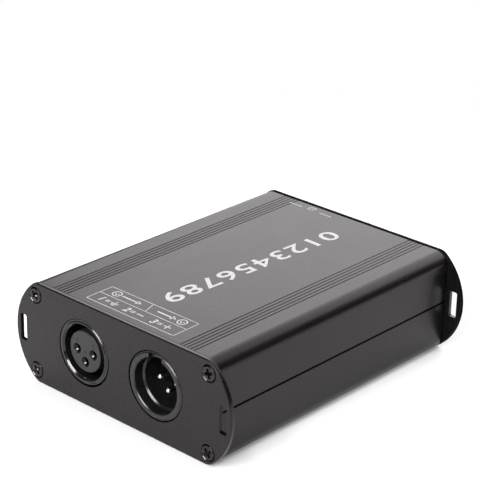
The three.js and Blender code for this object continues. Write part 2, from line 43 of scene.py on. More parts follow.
# ------------------------------------------------------------------ sizes, millimetres
BODY_H, PLATE_INSET, PLATE_T, PLATE_FACE = 38.0, 0.15, 1.5, 60.9
EAR_R, EAR_CX, PLATE_FILLET = 22.95, 28.1, 5.0
SLOT_X, SLOT_W, SLOT_H, SLOT_R = 47.4, 3.0, 9.9, 0.7
MID = BODY_H / 2
SHELL_END = 59.2
TOP = BODY_H
SCREW_X, SCREW_DZ = 40.9, 14.26
SINK_R, HEAD_R = 3.15, 2.85
XLR_X, XLR_Z = 17.1, 19.9
RING_R, RING_GAP, HOUSING_R, BORE_R = {-1: 11.7, 1: 12.0}, 0.42, 11.3, 9.75
FRONT = -61.0
RING_BACK = FRONT + 4.4
HOUSING_BACK, BACK_WALL = -41.5, -43.7
FACE_Y = -60.1
INSERT_R = 7.55
STEP_R, STEP_Y, NOTCH_Y = 9.1, -57.1, -59.2
PIN_DX, PIN_DZ, PIN_R = 3.9, 3.85, 1.2
LEG_R = 0.45
BOARD_Z, BOARD_TOP = 7.5, 9.1
FLAT_Z = 9.4
USB_X, USB_W, USB_H, USB_Z0 = -17.3, 12.0, 10.9, 9.35
USB_Y0, USB_Y1 = 44.8, 61.0
SPOTS = [(-PIN_DX, 0.0), (PIN_DX, 0.0), (0.0, -PIN_DZ)]
HAIR = 0.1  # support loops beside a rounded edge keep the flats flat


# ------------------------------------------------------------------ outlines, drawn in a plane
def arc(cx, cz, r, a0, a1, n):
    return [
        (cx + r * math.cos(a0 + (a1 - a0) * i / n), cz + r * math.sin(a0 + (a1 - a0) * i / n))
        for i in range(n + 1)
    ]


def ring_of(cx, cz, r, n, hole=False):
    s = -1 if hole else 1
    return [
        (cx + r * math.cos(s * 2 * math.pi * i / n), cz + r * math.sin(s * 2 * math.pi * i / n))
        for i in range(n)
    ]


def rect(x0, x1, z0, z1):
    return [(x0, z0), (x1, z0), (x1, z1), (x0, z1)]


def area2(pts):
    return sum(a[0] * b[1] - b[0] * a[1] for a, b in zip(pts, pts[1:] + pts[:1]))


def turn_at(a, b, c):
    u, v = (b[0] - a[0], b[1] - a[1]), (c[0] - b[0], c[1] - b[1])
    return math.atan2(u[0] * v[1] - u[1] * v[0], u[0] * v[0] + u[1] * v[1])


def tidy(pts, closed=True):
    """Drops repeated points and points on a straight line."""
    out = []
    for p in pts:
        if not out or math.dist(p, out[-1]) > 1e-4:
            out.append(p)
    if closed and math.dist(out[0], out[-1]) < 1e-4:
        out.pop()
    n = len(out)
    return [
        p
        for i, p in enumerate(out)
        if (not closed and i in (0, n - 1))
        or abs(turn_at(out[i - 1], p, out[(i + 1) % n])) > math.radians(0.2)
    ]


def fillet(pts, r, closed=True, segs=4, over=25):
    """Rounds the corners that turn by more than `over` degrees. r is one radius, or one for each point."""
    n = len(pts)
    radii = list(r) if isinstance(r, (list, tuple)) else [r] * n
    out = []
    for i, p in enumerate(pts):
        if (not closed and i in (0, n - 1)) or radii[i] <= 0:
            out.append(p)
            continue
        a, c = pts[i - 1], pts[(i + 1) % n]
        t = turn_at(a, p, c)
        if abs(t) < math.radians(over):
            out.append(p)
            continue
        la, lc = math.dist(a, p), math.dist(p, c)
        half = math.tan(abs(t) / 2)
        cut = min(radii[i] * half, 0.46 * la, 0.46 * lc)
        rr = cut / half
        u = ((p[0] - a[0]) / la, (p[1] - a[1]) / la)
        s = 1 if t > 0 else -1
        start = (p[0] - u[0] * cut, p[1] - u[1] * cut)
        centre = (start[0] - u[1] * rr * s, start[1] + u[0] * rr * s)
        a0 = math.atan2(start[1] - centre[1], start[0] - centre[0])
        out += [
            (centre[0] + rr * math.cos(a0 + t * k / segs), centre[1] + rr * math.sin(a0 + t * k / segs))
            for k in range(segs + 1)
        ]
    return out


def support(pts, closed=True, s=HAIR):
    """Adds a point close to each end of the long straight runs."""
    out = []
    n = len(pts)
    for i, p in enumerate(pts):
        out.append(p)
        if not closed and i == n - 1:
            break
        q = pts[(i + 1) % n]
        d = math.dist(p, q)
        if d > 5 * s:
            for k in (s / d, 1 - s / d):
                out.append((p[0] + (q[0] - p[0]) * k, p[1] + (q[1] - p[1]) * k))
    return out


def offset(pts, d):
    """Moves a closed outline to the left of its travel by d."""
    if d == 0:
        return list(pts)
    out = []
    n = len(pts)
    for i, p in enumerate(pts):
        a, c = pts[i - 1], pts[(i + 1) % n]
        la, lc = math.dist(a, p), math.dist(p, c)
        n1 = (-(p[1] - a[1]) / la, (p[0] - a[0]) / la)
        n2 = (-(c[1] - p[1]) / lc, (c[0] - p[0]) / lc)
        k = d / max(0.25, 1 + n1[0] * n2[0] + n1[1] * n2[1])
        out.append((p[0] + (n1[0] + n2[0]) * k, p[1] + (n1[1] + n2[1]) * k))
    return out


# ------------------------------------------------------------------ solids, as (points, faces)
def rounded_run(loop, lo, hi, b, axis="y", segs=3, lip=HAIR):
    """Rings of an outline run along an axis, with both ends rounded by b, or by a pair. The solid is on the left of the outline."""
    place = {
        "y": lambda p, h: (p[0], h, p[1]),
        "z": lambda p, h: (p[0], p[1], h),
        "x": lambda p, h: (h, p[0], p[1]),
    }[axis]
    low, high = b if isinstance(b, tuple) else (b, b)

    def steps(b):
        out = [(b + lip, 0.0)]
        for k in range(segs + 1):
            t = math.pi / 2 * k / segs
            out.append((b * (1 - math.sin(t)), b * (1 - math.cos(t))))
        return out + [(0.0, b + lip)]

    rings = [[place(p, lo + h) for p in offset(loop, d)] for d, h in steps(low)]
    rings += [[place(p, hi - h) for p in offset(loop, d)] for d, h in reversed(steps(high))]
    return rings


def round_hole(cx, cz, steps, n):
    """Rings of a round hole from (radius, y) steps."""
    return [[(x, y, z) for x, z in ring_of(cx, cz, r, n, hole=True)] for r, y in steps]


def skin(chains):
    """A closed solid from chains of rings, capped flat at both ends."""
    verts, faces, ends = [], [], ([], [])
    for rings in chains:
        base = []
        for r in rings:
            base.append(len(verts))
            verts.extend(r)
        n = len(rings[0])
        for a, b in zip(base, base[1:]):
            for i in range(n):
                j = (i + 1) % n
                faces.append((a + i, a + j, b + j, b + i))
        ends[0].append((base[0], n))
        ends[1].append((base[-1], n))
    for group in ends:
        polys = [[Vector(verts[s + i]) for i in range(n)] for s, n in group]
        index = [s + i for s, n in group for i in range(n)]
        faces += [tuple(index[i] for i in t) for t in tessellate_polygon(polys)]
    return verts, faces


def run(loop, lo, hi, b=0.12, r=0.12, axis="y", segs=3, corner_segs=3, s=HAIR):
    """One outline run along an axis, with rounded corners and ends."""
    if area2(loop) < 0:
        loop = loop[::-1]
    loop = support(fillet(tidy(loop), r, segs=corner_segs), s=s) if r else loop
    b = min(b, 0.7 * r) if r else b  # the end rounding stays inside the corner radius
    return skin([rounded_run(loop, lo, hi, b, axis, segs, lip=min(s, b, 0.25 * r) if r else min(s, b))])


def lathe(profile, cx, cz, n=96, axis="y"):
    """A turned solid from (radius, height) points that start and end on the axis."""
    place = {
        "y": lambda x, h, z: (cx + x, h, cz + z),
        "z": lambda x, h, z: (cx + x, cz + z, h),
    }[axis]
    verts, rows, faces = [], [], []
    for r, h in profile:
        if r < 1e-6:
            rows.append([len(verts)])
            verts.append(place(0, h, 0))
        else:
            rows.append(list(range(len(verts), len(verts) + n)))
            verts += [
                place(r * math.cos(2 * math.pi * i / n), h, r * math.sin(2 * math.pi * i / n))
                for i in range(n)
            ]
    for a, b in zip(rows, rows[1:]):
        for i in range(n):
            j = (i + 1) % n
            if len(a) == 1 and len(b) == 1:
                continue
            if len(a) == 1:
                faces.append((a[0], b[j], b[i]))
            elif len(b) == 1:
                faces.append((a[i], a[j], b[0]))
            else:
                faces.append((a[i], a[j], b[j], b[i]))
    return verts, faces


def turned(points, radii, cx, cz, n=96, segs=4, axis="y"):
    """A turned solid with rounded edges."""
    return lathe(support(fillet(points, radii, closed=False, segs=segs), closed=False), cx, cz, n, axis)


def plain_box(x0, x1, y0, y1, z0, z1):
    v = [(x, y, z) for z in (z0, z1) for y in (y0, y1) for x in (x0, x1)]
    return v, [(0, 2, 3, 1), (4, 5, 7, 6), (0, 1, 5, 4), (2, 6, 7, 3), (0, 4, 6, 2), (1, 3, 7, 5)]


def together(*solids):
    verts, faces = [], []
    for v, f in solids:
        k = len(verts)
        verts += list(v)
        faces += [tuple(i + k for i in t) for t in f]
    return verts, faces


def clean(me):
    bm = bmesh.new()
    bm.from_mesh(me)
    bmesh.ops.remove_doubles(bm, verts=bm.verts, dist=2e-5)
    bmesh.ops.dissolve_degenerate(bm, edges=bm.edges, dist=1e-5)
    bmesh.ops.recalc_face_normals(bm, faces=bm.faces)
    bm.to_mesh(me)
    bm.free()


def workpiece(solid):
    """A scratch object in millimetres, for boolean work."""
    me = bpy.data.meshes.new("work")
    me.from_pydata(*[list(solid[0]), [], list(solid[1])])
    clean(me)
    ob = bpy.data.objects.new("work", me)
    scene.collection.objects.link(ob)
    return ob


def boolean(a, b, operation):
    ob, tool = workpiece(a), workpiece(b)
    m = ob.modifiers.new("cut", "BOOLEAN")
    m.operation, m.object, m.solver = operation, tool, "EXACT"
    me = bpy.data.meshes.new_from_object(ob.evaluated_get(bpy.context.evaluated_depsgraph_get()))
    out = [tuple(v.co) for v in me.vertices], [tuple(p.vertices) for p in me.polygons]
    for o in (ob, tool):
        old = o.data
        bpy.data.objects.remove(o)
        bpy.data.meshes.remove(old)
    bpy.data.meshes.remove(me)
    return out


def cut(a, *tools):
    for t in tools:
        a = boolean(a, t, "DIFFERENCE")
    return a


def fuse(a, *others):
    for t in others:
        a = boolean(a, t, "UNION")
    return a


def piece(name, solid, material, body, replaces=(), sharp=32):
    me = bpy.data.meshes.new(name)
    me.from_pydata(list(solid[0]), [], list(solid[1]))
    clean(me)
    me.transform(Matrix.Scale(MM, 4))
    me.shade_smooth()
    me.set_sharp_from_angle(angle=math.radians(sharp))
    me.materials.append(material)
    ob = bpy.data.objects.new(name, me)
    scene.collection.objects.link(ob)
    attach(ob, body)
    if replaces:
        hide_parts(*([replaces] if isinstance(replaces, str) else replaces))
    return ob


def section_of(node, y):
    """The closed outlines of a CAD node's flat end at y, in millimetres, solid on the left."""
    me = NODES[node].data
    pts = [(round(v.co.x * 1e3, 3), v.co.y * 1e3, round(v.co.z * 1e3, 3)) for v in me.vertices]
    edges = set()
    for p in me.polygons:
        ring = [pts[i] for i in p.vertices]
        if all(abs(q[1] - y) < 0.02 for q in ring):
            flat = [(q[0], q[2]) for q in ring]
            for e in zip(flat, flat[1:] + flat[:1]):
                if e[::-1] in edges:
                    edges.discard(e[::-1])
                else:
                    edges.add(e)
    following = {a: b for a, b in sorted(edges)}
    loops = []
    while following:
        start = min(following)
        loop, at = [], start
        while at in following:
            loop.append(at)
            at = following.pop(at)
        loops.append(tidy(loop))
    return sorted(loops, key=lambda l: -abs(area2(l)))


# ------------------------------------------------------------------ materials
class Tree:
    """Small helper for writing a procedural material."""

    def __init__(self, name):
        self.m = bpy.data.materials.new(name)
        self.m.use_nodes = True
        self.nt = self.m.node_tree
        self.nt.nodes.clear()
        self.out = self.nt.nodes.new("ShaderNodeOutputMaterial")
        self.b = self.nt.nodes.new("ShaderNodeBsdfPrincipled")
        self.nt.links.new(self.b.outputs[0], self.out.inputs[0])
        self._p = None

    def node(self, kind, **values):
        n = self.nt.nodes.new(kind)
        for k, v in values.items():
            setattr(n, k, v)
        return n

    def put(self, socket, value):
        if isinstance(value, bpy.types.NodeSocket):
            self.nt.links.new(value, socket)
        else:
            socket.default_value = value

    def set(self, **values):
        for k, v in values.items():
            self.put(self.b.inputs[k.replace("_", " ")], v)
        return self

    def place(self):
        """The point on the surface, in millimetres of the object at rest."""
        if self._p is None:
            c = self.node("ShaderNodeTexCoord")
            s = self.node("ShaderNodeVectorMath", operation="SCALE")
            self.put(s.inputs[0], c.outputs["Object"])
            s.inputs["Scale"].default_value = 1000.0
            self._p = s.outputs[0]
        return self._p

    def stretched(self, scales):
        s = self.node("ShaderNodeVectorMath", operation="MULTIPLY")
        self.put(s.inputs[0], self.place())
        s.inputs[1].default_value = scales
        return s.outputs[0]

    def noise(self, scale, detail=2.0, rough=0.5, vector=None, distortion=0.0):
        n = self.node("ShaderNodeTexNoise")
        self.put(n.inputs["Vector"], vector or self.place())
        n.inputs["Scale"].default_value = scale
        n.inputs["Detail"].default_value = detail
        n.inputs["Roughness"].default_value = rough
        n.inputs["Distortion"].default_value = distortion
        return n.outputs["Fac"]

    def cells(self, scale, feature="F1", vector=None):
        n = self.node("ShaderNodeTexVoronoi", feature=feature)
        self.put(n.inputs["Vector"], vector or self.place())
        n.inputs["Scale"].default_value = scale
        return n.outputs["Distance"]

    def calc(self, operation, a, b=0.0, c=0.0, clamp=False):
        n = self.node("ShaderNodeMath", operation=operation, use_clamp=clamp)
        for s, v in zip(n.inputs, (a, b, c)):
            self.put(s, v)
        return n.outputs[0]

    def span(self, value, lo, hi, to_lo=0.0, to_hi=1.0, smooth=False):
        n = self.node("ShaderNodeMapRange", interpolation_type="SMOOTHSTEP" if smooth else "LINEAR")
        for s, v in zip(n.inputs, (value, lo, hi, to_lo, to_hi)):
            self.put(s, v)
        return n.outputs[0]

    def blend(self, fac, a, b):
        n = self.node("ShaderNodeMix", data_type="RGBA")
        self.put(n.inputs["Factor"], fac)
        self.put(n.inputs[6], a)
        self.put(n.inputs[7], b)
        return n.outputs[2]

    def xyz(self):
        n = self.node("ShaderNodeSeparateXYZ")
        self.put(n.inputs[0], self.place())
        return n.outputs

    def bump(self, height, distance_mm, strength=1.0, normal=None):
        n = self.node("ShaderNodeBump")
        self.put(n.inputs["Height"], height)
        n.inputs["Distance"].default_value = distance_mm * MM
        n.inputs["Strength"].default_value = strength
        if normal:
            self.put(n.inputs["Normal"], normal)
        return n.outputs[0]


def rgba(*c):
    return (*c, 1.0)


def anodised(name, dark, light, rough, drawn=1.0, grain_mm=0.019, ior=1.4, painted_gap_shade=False):
    """Fine blasted and dyed aluminium: a matt grain, faint lines along the extrusion, slow clouding of the dye.
    The last flag paints shade into the bottom of the groove between the two shells: near-black, dull colour where that
    groove lies in shade."""
    t = Tree(name)
    grain = t.noise(2.7, 3.0, 0.6)
    fine = t.noise(11.0, 2.0, 0.5)
    lines = t.noise(1.0, 3.0, 0.6, t.stretched((2.6, 0.035, 2.6)))
    cloud = t.noise(0.055, 2.0, 0.5)
    tone = t.calc("ADD", t.calc("MULTIPLY", grain, 0.62), t.calc("MULTIPLY", fine, 0.2))
    tone = t.calc("ADD", tone, t.calc("MULTIPLY", t.calc("ADD", lines, cloud), 0.11 * drawn))
    colour = t.blend(t.span(tone, 0.32, 0.68), rgba(*dark), rgba(*light))
    gloss = t.calc(
        "ADD",
        t.span(grain, 0.3, 0.7, rough - 0.035, rough + 0.035),
        t.calc("MULTIPLY", t.calc("SUBTRACT", t.calc("ADD", lines, cloud), 1.0), 0.06 * drawn),
    )
    if painted_gap_shade:
        # painted shade: near-black colour and dull gloss at the bottom of the joint groove, where shade falls
        x, _, z = t.xyz()
        near = t.span(t.calc("ABSOLUTE", t.calc("SUBTRACT", z, MID)), 0.30, 0.36, 1.0, 0.0)
        deep = t.span(t.calc("ABSOLUTE", x), 43.5, 43.72, 1.0, 0.0)
        inside = t.calc("MULTIPLY", near, deep)
        colour = t.blend(inside, colour, rgba(0.001, 0.001, 0.001))
        gloss = t.calc("MAXIMUM", gloss, t.calc("MULTIPLY", inside, 0.9))
    t.set(
        Base_Color=colour,
        Roughness=gloss,
        IOR=ior,
        Specular_Tint=rgba(1.0, 0.89, 0.91),
        Normal=t.bump(
            t.calc("ADD", grain, t.calc("MULTIPLY", lines, 0.25 * drawn)),
            grain_mm,
            0.8,
        ),
    )
    return t.m


SHELL = anodised("black_anodised_shell", (0.0036, 0.0034, 0.0036), (0.0062, 0.0059, 0.0061), 0.30, ior=1.333, painted_gap_shade=True)
PLATE = anodised("black_anodised_plate", (0.0036, 0.0034, 0.0036), (0.0062, 0.0059, 0.0061), 0.27, 0.25, grain_mm=0.011, ior=1.395)
CUT_EDGE = anodised("polished_countersink", (0.002, 0.002, 0.002), (0.004, 0.004, 0.004), 0.12, 0.1, grain_mm=0.002, ior=1.5)
# painted shade: the front slots' side walls are darker and duller than the plate's faces, for the shade inside the
# slots
SLOT_WALL_PAINTED_SHADE = anodised("slot_wall_painted_shade", (0.0030, 0.0029, 0.0030), (0.0050, 0.0048, 0.0050), 0.5, 0.25, ior=1.32)
# painted shade: a near-black, matt, barely reflecting rim for the dark line along the rear plate's outer edge and for
# the shaded top and bottom walls of the front slots
RIM_PAINTED_SHADE = anodised("rim_painted_shade", (0.0016, 0.0016, 0.0017), (0.0030, 0.0029, 0.0030), 0.75, 0.25, ior=1.08)


def moulded(name, dark, light, rough, grain=2.2, depth=0.003, ior=1.5):
    """Moulded plastic: soft speckle, a little uneven gloss and shallow flow marks."""
    t = Tree(name)
    speck = t.noise(grain * 3, 2.0, 0.55)
    flow = t.noise(0.35, 2.0, 0.5, distortion=0.6)
    t.set(
        Base_Color=t.blend(t.span(speck, 0.3, 0.7), rgba(*dark), rgba(*light)),
        Roughness=t.calc(
            "ADD",
            t.span(speck, 0.3, 0.7, rough - 0.03, rough + 0.03),
            t.span(flow, 0.3, 0.7, -0.025, 0.025),
        ),
        IOR=ior,
        Specular_Tint=rgba(1.0, 0.93, 0.95),
        Normal=t.bump(t.calc("ADD", speck, t.calc("MULTIPLY", flow, 1.5)), depth, 0.8),
    )
    return t.m


RING = moulded("black_connector_moulding", (0.0058, 0.0055, 0.006), (0.0092, 0.0088, 0.0095), 0.15, depth=0.002, ior=1.5)
SATIN_RING = moulded("satin_connector_moulding", (0.0058, 0.0055, 0.006), (0.0092, 0.0088, 0.0095), 0.27, depth=0.002, ior=1.52)
INSERT = moulded("grey_insert_moulding", (0.012, 0.012, 0.0122), (0.017, 0.0168, 0.017), 0.42)
BASE = moulded("black_base_moulding", (0.0045, 0.0045, 0.005), (0.008, 0.008, 0.0085), 0.5)
SOCKET = moulded("black_socket_moulding", (0.006, 0.006, 0.0065), (0.011, 0.011, 0.0115), 0.38)
EPOXY = moulded("moulded_epoxy", (0.010, 0.010, 0.0105), (0.020, 0.020, 0.0205), 0.55, 3.4, 0.006)
WHITE_CASE = moulded("module_case", (0.011, 0.011, 0.012), (0.019, 0.019, 0.020), 0.5, 1.6, 0.008)


def metal(name, dark, light, rough, brushed=(1.0, 1.0, 1.0), scale=3.0, depth=0.0015, tarnish=None):
    """Plated metal: fine tool lines or plating grain, with a little staining."""
    t = Tree(name)
    grain = t.noise(scale, 3.0, 0.6, t.stretched(brushed))
    stain = t.noise(0.5, 3.0, 0.6, distortion=0.4)
    colour = t.blend(t.span(grain, 0.3, 0.7), rgba(*dark), rgba(*light))
    if tarnish:
        colour = t.blend(t.span(stain, 0.56, 0.78, 0.0, 0.55, smooth=True), colour, rgba(*tarnish))
    t.set(
        Base_Color=colour,
        Metallic=1.0,
        Roughness=t.calc(
            "ADD", t.span(grain, 0.3, 0.7, rough - 0.05, rough + 0.05), t.span(stain, 0.3, 0.8, -0.02, 0.06)
        ),
        Normal=t.bump(grain, depth, 0.7),
    )
    return t.m


SCREW = metal("black_zinc_screw", (0.034, 0.0300, 0.0305), (0.066, 0.0585, 0.059), 0.17, scale=2.4, tarnish=(0.024, 0.021, 0.021))
# painted shade: a near-black, matt lining for the depth of the cross recesses
RECESS_PAINTED_SHADE = anodised("screw_recess_painted_shade", (0.0018, 0.0017, 0.0017), (0.0036, 0.0034, 0.0034), 0.6, 0.25, ior=1.15)
# painted shade: the female contacts are a dark metal, for the shade inside the holes they sit in
CONTACT_PAINTED_SHADE = metal("contact_painted_shade", (0.024, 0.0228, 0.021), (0.044, 0.0415, 0.038), 0.13, (1, 4.0, 1), 2.0, 0.0006)
SILVER = metal("silver_contact", (0.74, 0.72, 0.67), (0.90, 0.885, 0.85), 0.17, (1, 4.0, 1), 2.0, 0.001, (0.62, 0.56, 0.44))
TINNED = metal("tinned_steel", (0.56, 0.56, 0.555), (0.76, 0.755, 0.745), 0.30, (0.4, 3.0, 3.0), 1.6, 0.002, (0.50, 0.48, 0.44))
SOLDER = metal("solder", (0.60, 0.60, 0.60), (0.78, 0.78, 0.775), 0.34, scale=1.2, depth=0.004)
GOLD = metal("gilt_contact", (0.72, 0.53, 0.22), (0.86, 0.66, 0.32), 0.22, (4.0, 0.3, 4.0), 1.4, 0.001)


def white_ink():
    """Screen-printed ink: uneven cover that shows the blasted metal through it in pinholes."""
    t = Tree("white_print")
    grain = t.noise(4.6, 3.0, 0.62)
    cover = t.noise(0.8, 2.0, 0.5)
    thin = t.calc("MULTIPLY", t.span(grain, 0.34, 0.56), t.span(cover, 0.2, 0.6, 0.85, 1.0))
    t.set(
        Base_Color=t.blend(thin, rgba(0.34, 0.34, 0.34), rgba(0.55, 0.55, 0.546)),
        Roughness=t.span(grain, 0.3, 0.7, 0.5, 0.62),
        Normal=t.bump(grain, 0.004, 0.8),
    )
    return t.m


INK = white_ink()


def solder_mask():
    """Green solder mask over copper: raised tracks, glass weave, a slight change of shade over the copper."""
    t = Tree("green_solder_mask")
    x, y, _ = t.xyz()
    warp = t.noise(0.09, 1.0, 0.4)
    u = t.calc("ADD", x, t.span(warp, 0.3, 0.7, -2.2, 2.2))
    lane = t.calc("PINGPONG", u, 0.95)
    stripe = t.span(lane, 0.30, 0.38, smooth=True)
    cross = t.calc("PINGPONG", t.calc("ADD", y, t.span(warp, 0.3, 0.7, -1.6, 1.6)), 1.25)
    bar = t.span(cross, 0.36, 0.44, smooth=True)
    region = t.span(t.noise(0.075, 0.0, 0.5, t.stretched((1, 1, 0))), 0.46, 0.49)
    track = t.calc("ADD", t.calc("MULTIPLY", stripe, region), t.calc("MULTIPLY", bar, t.calc("SUBTRACT", 1.0, region)))
    field = t.span(t.noise(0.05, 0.0, 0.5, t.stretched((1, 1.3, 0))), 0.52, 0.54)
    copper = t.calc("MAXIMUM", t.calc("MULTIPLY", track, 1.0), field, clamp=True)
    weave = t.calc("MULTIPLY", t.calc("SINE", t.calc("MULTIPLY", x, 9.0)), t.calc("SINE", t.calc("MULTIPLY", y, 9.0)))
    t.set(
        Base_Color=t.blend(copper, rgba(0.006, 0.050, 0.022), rgba(0.014, 0.105, 0.042)),
        Roughness=t.span(weave, -1, 1, 0.24, 0.30),
        IOR=1.5,
        Coat_Weight=0.3,
        Coat_Roughness=0.12,
        Normal=t.bump(t.calc("ADD", copper, t.calc("MULTIPLY", weave, 0.1)), 0.03, 0.8),
    )
    return t.m


BOARD = solder_mask()


def sleeve():
    """Shrink sleeve of a capacitor with a plain pale stripe down one side."""
    t = Tree("capacitor_sleeve")
    n = t.noise(1.2, 2.0, 0.5)
    g = t.node("ShaderNodeNewGeometry")
    s = t.node("ShaderNodeSeparateXYZ")
    t.put(s.inputs[0], g.outputs["Normal"])
    stripe = t.calc("MULTIPLY", t.span(s.outputs[0], 0.86, 0.88), t.span(t.calc("ABSOLUTE", s.outputs[2]), 0.4, 0.3))
    t.set(
        Base_Color=t.blend(stripe, t.blend(n, rgba(0.012, 0.012, 0.020), rgba(0.020, 0.019, 0.030)), rgba(0.42, 0.43, 0.45)),
        Roughness=t.span(n, 0.3, 0.7, 0.28, 0.36),
        Normal=t.bump(n, 0.01, 0.6),
    )
    return t.m


SLEEVE = sleeve()

# ------------------------------------------------------------------ shells
for node, name in (("upper_shell", "shell_upper_half"), ("lower_shell", "shell_lower_half")):
    chains = []
    for loop in section_of(node, -SHELL_END):
        # the lengthwise grooves look shallow in the photo, so their floors lie a little higher here
        loop = [
            (x, TOP - 0.19) if TOP - 0.5 < z < TOP - 0.3 and abs(x) < 39 else (x, 0.19) if 0.3 < z < 0.5 and abs(x) < 39 else (x, z)
            for x, z in loop
        ]
        round_one = len(loop) > 10 and area2(loop) < 0
        edge = loop if round_one else support(fillet(loop, 0.15, segs=3))
        chains.append(rounded_run(edge, -SHELL_END - 0.18, SHELL_END, (0.05, 0.34), segs=4))
    piece(name, skin(chains), SHELL, "enclosure", node)


# ------------------------------------------------------------------ end plates
def plate_outline(inset=PLATE_INSET):
    r = PLATE_FILLET
    dz = MID - inset - r
    fx = EAR_CX + math.sqrt((EAR_R - r) ** 2 - dz * dz)
    t = math.atan2(dz, fx - EAR_CX)
    right = (
        arc(fx, inset + r, r, -math.pi / 2, -t, 10)
        + arc(EAR_CX, MID, EAR_R, -t, t, 60)[1:]
        + arc(fx, BODY_H - inset - r, r, t, math.pi / 2, 10)[1:]
    )
    return right + [(-x, z) for x, z in reversed(right)]


def slot_loop(sx):
    x, h = sx * SLOT_X, SLOT_H / 2
    loop = rect(x - SLOT_W / 2, x + SLOT_W / 2, MID - h, MID + h)
    return support(fillet(loop, SLOT_R, segs=6))[::-1]


SCREW_SPOTS = {
    "upper_left": (-SCREW_X, MID + SCREW_DZ, "ul"),
    "upper_right": (SCREW_X, MID + SCREW_DZ, "ur"),
    "lower_left": (-SCREW_X, MID - SCREW_DZ, "ll"),
    "lower_right": (SCREW_X, MID - SCREW_DZ, "lr"),
}


def plate_chains(side):
    lo, hi = sorted((side * PLATE_FACE, side * (PLATE_FACE - PLATE_T)))
    outline = support(plate_outline(PLATE_INSET if side < 0 else 0.03))
    outline = [(x, z if z < MID else MID + (z - MID) * 1.006) for x, z in outline]
    chains = [rounded_run(outline, lo, hi, (0.4, 0.06) if side < 0 else (0.16, 0.3), segs=5)]
    for sx in (-1, 1):
        chains.append(rounded_run(slot_loop(sx), lo, hi, 0.12))
    out, back = side * PLATE_FACE, side * (PLATE_FACE - PLATE_T)
    sink = [
        (SINK_R + 0.16, out), (SINK_R + 0.06, out), (SINK_R, out - side * 0.02), (SINK_R - 0.04, out - side * 0.07),
        (SINK_R - 0.14, out - side * 0.18), (1.86, back + side * 0.24), (1.80, back + side * 0.14), (1.80, back + side * 0.06),
        (1.86, back), (1.96, back),
    ]
    if side > 0:
        sink = sink[::-1]
    for x, z, _ in SCREW_SPOTS.values():
        chains.append(round_hole(x, z, sink, 64))
    return chains, lo, hi


chains, lo, hi = plate_chains(-1)
for sx in (-1, 1):
    # the female connector sits against the upper left of its hole
    off = 0.22 if sx < 0 else 0.0
    chains.append(rounded_run(ring_of(sx * XLR_X + off, XLR_Z - 0.7 * off, RING_R[sx] + RING_GAP, 128, hole=True), lo, hi, 0.08))
front = piece("end_plate_front", skin(chains), PLATE, "front_end", "front_plate")

chains, lo, hi = plate_chains(1)
g = 0.35
hole = rect(USB_X - USB_W / 2 - g, USB_X + USB_W / 2 + g, USB_Z0 - g, USB_Z0 + USB_H + g)
chains.append(rounded_run(support(fillet(hole, 0.5, segs=5))[::-1], lo, hi, 0.1))
rear = piece("end_plate_rear", skin(chains), PLATE, "rear_end", "rear_plate")
# the countersink walls take the glossy finish; the rear plate's outer edge and the front slots' walls take the darker
# materials of painted shade
for plate in (front, rear):
    plate.data.materials.append(CUT_EDGE)
    plate.data.materials.append(RIM_PAINTED_SHADE if plate is rear else SLOT_WALL_PAINTED_SHADE)
    plate.data.materials.append(RIM_PAINTED_SHADE)
    for p in plate.data.polygons:
        x, y, z = (abs(c) / MM for c in p.center)
        dz = abs(z - MID)
        sink = math.dist((x, dz), (SCREW_X, SCREW_DZ)) < SINK_R + 0.1
        opening = (45.7 < x < 49.1 and dz < 5.3) or (x < 30 and dz < 14)
        if abs(p.normal.y) < 0.97 and sink:
            p.material_index = 1
        elif abs(p.normal.y) < 0.8 and ((plate is rear and not opening) or (plate is front and opening and x > 30)):
            p.material_index = 3 if plate is front and abs(p.normal.z) > 0.5 else 2


# ------------------------------------------------------------------ screws
def screw_solid(side):
    """Raised countersunk head with a tapered cross recess, and a threaded shank."""
    # heights run from the plate's outer face inwards
    head = [
        (0, -0.24), (0.9, -0.232), (1.6, -0.207), (2.15, -0.17), (2.36, -0.14), (2.48, -0.10), (2.58, -0.03), (2.64, 0.05), (2.66, 0.14),
        (2.64, 0.21), (1.55, 1.32), (1.4, 1.62),
    ]
    thread = []
    h = 1.8
    while h < 10.1:
        thread += [(1.4, h), (1.4, h + 0.07), (1.22, h + 0.25), (1.22, h + 0.32)]
        h += 0.5
    tip = [(1.36, 10.3), (1.0, 10.85), (0.8, 10.98), (0, 11.0)]
    profile = [(r, side * (PLATE_FACE - d)) for r, d in head + thread + tip]
    body = lathe(profile, 0, 0, 48)
    # cross recess: a twelve-sided cross that narrows towards its floor
    rings = []
    for d, a, b, c in ((-0.8, 2.0, 0.55, 0.64), (0.05, 1.66, 0.43, 0.52), (1.15, 0.90, 0.30, 0.37), (1.5, 0.24, 0.18, 0.2)):
        y = side * (PLATE_FACE - d)
        q = [(a, -b), (a, b), (c, c), (b, a), (-b, a), (-c, c), (-a, b), (-a, -b), (-c, -c), (-b, -a), (b, -a), (c, -c)]
        rings.append([(x, y, z) for x, z in q])
    return cut(body, skin([rings]))


def spun(solid, cx, cz, angle):
    c, s = math.cos(angle), math.sin(angle)
    return [(cx + x * c - z * s, y, cz + x * s + z * c) for x, y, z in solid[0]], solid[1]


